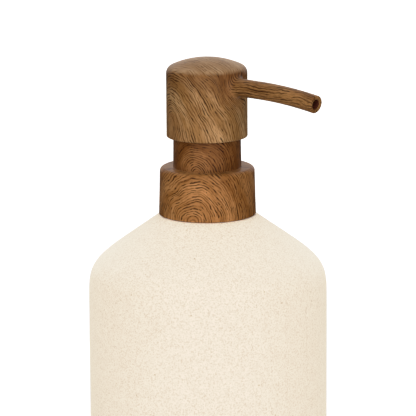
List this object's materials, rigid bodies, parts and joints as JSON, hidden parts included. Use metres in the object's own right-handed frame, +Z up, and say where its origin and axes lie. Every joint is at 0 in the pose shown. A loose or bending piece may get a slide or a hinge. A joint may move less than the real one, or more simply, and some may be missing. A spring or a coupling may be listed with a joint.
{
  "type": "soap pump dispenser",
  "caption": "Refillable soap dispenser: a round matte stoneware bottle with a screw-on press pump and a wood-effect head with a slim downturned spout.",
  "frame": {"origin": "centre of the base pad's underside, on the bottle's axis", "axes": "+Z up along the bottle's axis, +X along the spout at rest, +Y to the left of the spout"},
  "size_m": [0.0889, 0.0802, 0.1848],
  "materials": {
    "stoneware": "matte cream with fine grey-brown specks",
    "foam": "matte foam",
    "white_plastic": "satin moulded",
    "natural_plastic": "satin translucent moulded",
    "clear_plastic": "translucent tube",
    "adhesive": "cured adhesive",
    "seal": "matte elastomer",
    "steel": "bright stainless",
    "glass_bead": "polished bead",
    "wood_film_collar": "satin wood-grain film on moulded plastic",
    "wood_film_head": "satin wood-grain film on moulded plastic"
  },
  "bodies": {
    "bottle_body": {"bottle": "stoneware", "base_pad": "foam", "neck_insert": "white_plastic", "neck_bond": "adhesive"},
    "pump_body": {"neck_gasket": "seal", "pump_cylinder": "natural_plastic", "stem_guide": "white_plastic", "stem_wiper": "seal", "ball_cage": "white_plastic", "dip_tube": "clear_plastic", "return_spring": "steel"},
    "collar_body": {"screw_cap": "white_plastic", "collar_shell": "wood_film_collar"},
    "piston_body": {"piston_seal": "seal"},
    "head_body": {"stem": "white_plastic", "stem_plug": "white_plastic", "head_core": "white_plastic", "head_shell": "wood_film_head"},
    "inlet_ball_body": {"inlet_ball": "steel"},
    "outlet_ball_body": {"outlet_ball": "glass_bead"}
  },
  "joints": [
    {"name": "pump_rise", "type": "slide", "parent": "bottle_body", "child": "pump_body", "axis": [0, 0, 1], "range_m": [0, 0.00494]},
    {"name": "collar_turn", "type": "hinge", "parent": "pump_body", "child": "collar_body", "pos_m": [0, 0, 0.13195], "axis": [0, 0, 1], "range_deg": [0, 560]},
    {"name": "head_press", "type": "slide", "parent": "pump_body", "child": "piston_body", "axis": [0, 0, -1], "range_m": [0, 0.0098], "stiffness_N_per_m": 900, "springref_m": -0.005, "deforming": ["return_spring"]},
    {"name": "head_swivel", "type": "hinge", "parent": "piston_body", "child": "head_body", "pos_m": [0, 0, 0.15818], "axis": [0, 0, 1], "continuous": true},
    {"name": "inlet_ball_lift", "type": "slide", "parent": "pump_body", "child": "inlet_ball_body", "axis": [0, 0, 1], "range_m": [0, 0.0013]},
    {"name": "outlet_ball_lift", "type": "slide", "parent": "head_body", "child": "outlet_ball_body", "axis": [0, 0, 1], "range_m": [0, 0.0012]}
  ],
  "couplings": [
    {"joint": "collar_turn", "follows": "pump_rise", "rad_per_m": 1979}
  ]
}
